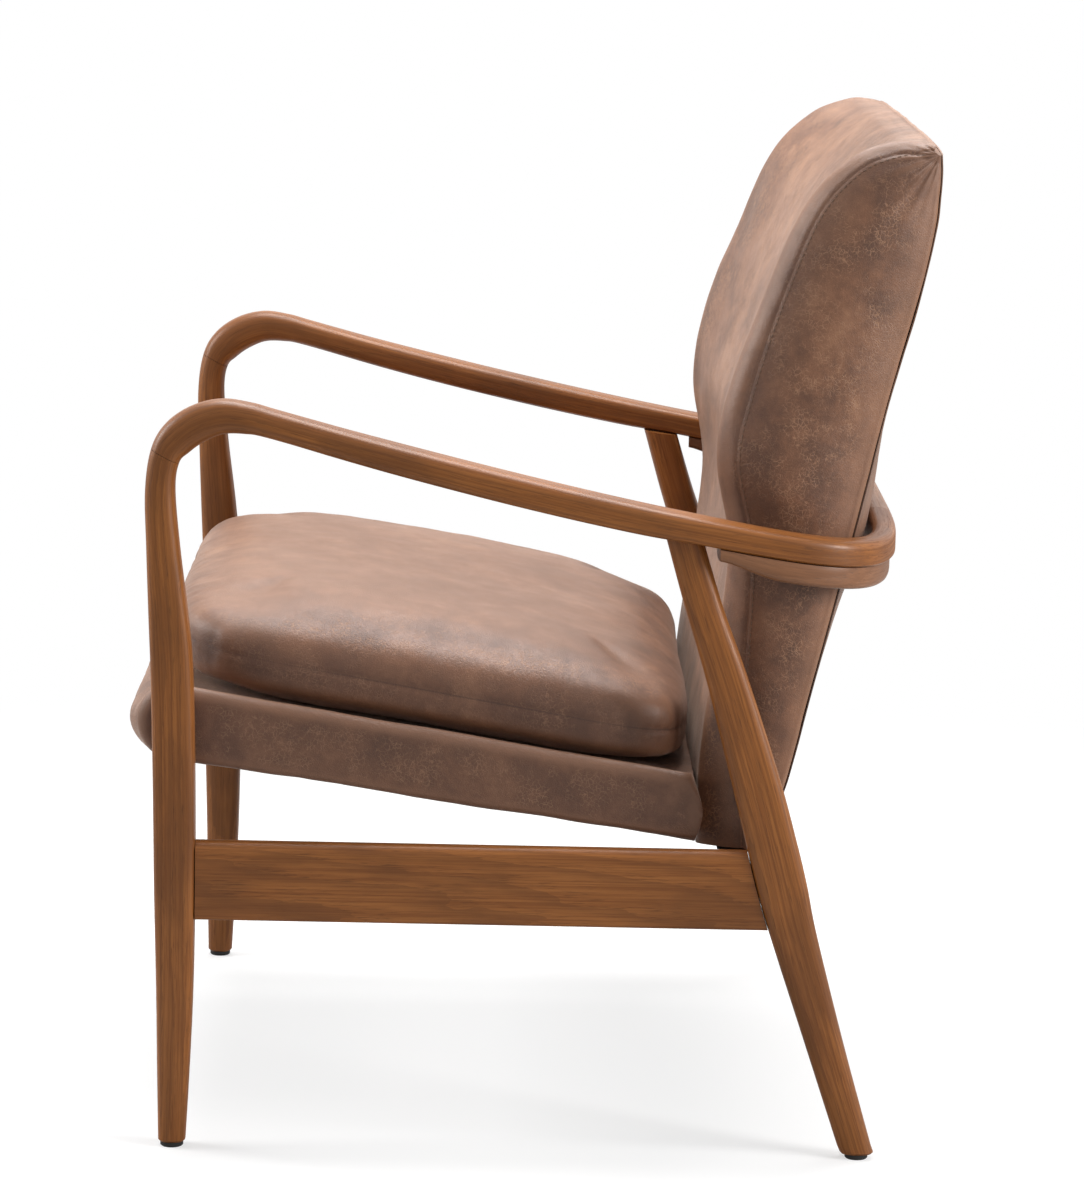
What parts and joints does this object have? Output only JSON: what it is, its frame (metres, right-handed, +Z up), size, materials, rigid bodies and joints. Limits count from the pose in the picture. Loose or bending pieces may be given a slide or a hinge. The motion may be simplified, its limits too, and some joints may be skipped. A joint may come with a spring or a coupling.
{
  "type": "upholstered armchair",
  "caption": "Low lounge armchair with open timber side frames, a curved bow behind the back, leather upholstery and a loose seat cushion.",
  "frame": {"origin": "on the floor under the middle of the chair", "axes": "+Z up, the chair faces -Y, +X is the sitter's left"},
  "size_m": [0.71, 0.6622, 0.8375],
  "materials": {
    "leather": "waxed pull-up leather, mottled brown",
    "stained_timber": "walnut-brown stain under satin lacquer",
    "frame_beech": "raw planed beech",
    "foam": "cut upholstery foam",
    "webbing": "woven elastic webbing",
    "dust_cloth": "black non-woven cloth",
    "steel": "zinc-plated steel",
    "glide": "dark plastic"
  },
  "bodies": {
    "frame": {"arm_left": "stained_timber", "arm_right": "stained_timber", "back_bolt_left": "steel", "back_bolt_right": "steel", "back_bow": "stained_timber", "back_dust_cover": "dust_cloth", "back_foam": "foam", "back_front_cover": "leather", "back_gusset_left": "leather", "back_gusset_right": "leather", "back_outside_panel": "leather", "back_post_left": "frame_beech", "back_post_right": "frame_beech", "back_rail_bottom": "frame_beech", "back_rail_middle": "frame_beech", "back_rail_top": "frame_beech", "bow_bolt_left": "steel", "bow_bolt_right": "steel", "bow_plug_left": "stained_timber", "bow_plug_right": "stained_timber", "bow_rail_screw_left": "steel", "bow_rail_screw_right": "steel", "bow_support_rail": "stained_timber", "foot_glide_front_left": "glide", "foot_glide_front_right": "glide", "foot_glide_rear_left": "glide", "foot_glide_rear_right": "glide", "front_leg_left": "stained_timber", "front_leg_right": "stained_timber", "leg_bolt_front_left": "steel", "leg_bolt_front_right": "steel", "leg_bolt_rear_left": "steel", "leg_bolt_rear_right": "steel", "rear_leg_left": "stained_timber", "rear_leg_right": "stained_timber", "seat_cover": "leather", "seat_dust_cover": "dust_cloth", "seat_foam": "foam", "seat_rail_front": "frame_beech", "seat_rail_left": "frame_beech", "seat_rail_rear": "frame_beech", "seat_rail_right": "frame_beech", "seat_side_panel_left": "leather", "seat_side_panel_right": "leather", "seat_webbing": "webbing", "side_stretcher_left": "stained_timber", "side_stretcher_right": "stained_timber", "threaded_insert_front_left": "steel", "threaded_insert_front_right": "steel", "threaded_insert_rear_left": "steel", "threaded_insert_rear_right": "steel"},
    "cushion": {"cushion_cover_top": "leather", "cushion_cover_bottom": "leather", "cushion_filling": "foam"}
  },
  "joints": [
    {"name": "seat_cushion_lift", "type": "slide", "parent": "frame", "child": "cushion", "axis": [0, -0.5, 0.866], "range_m": [0, 0.3]}
  ]
}
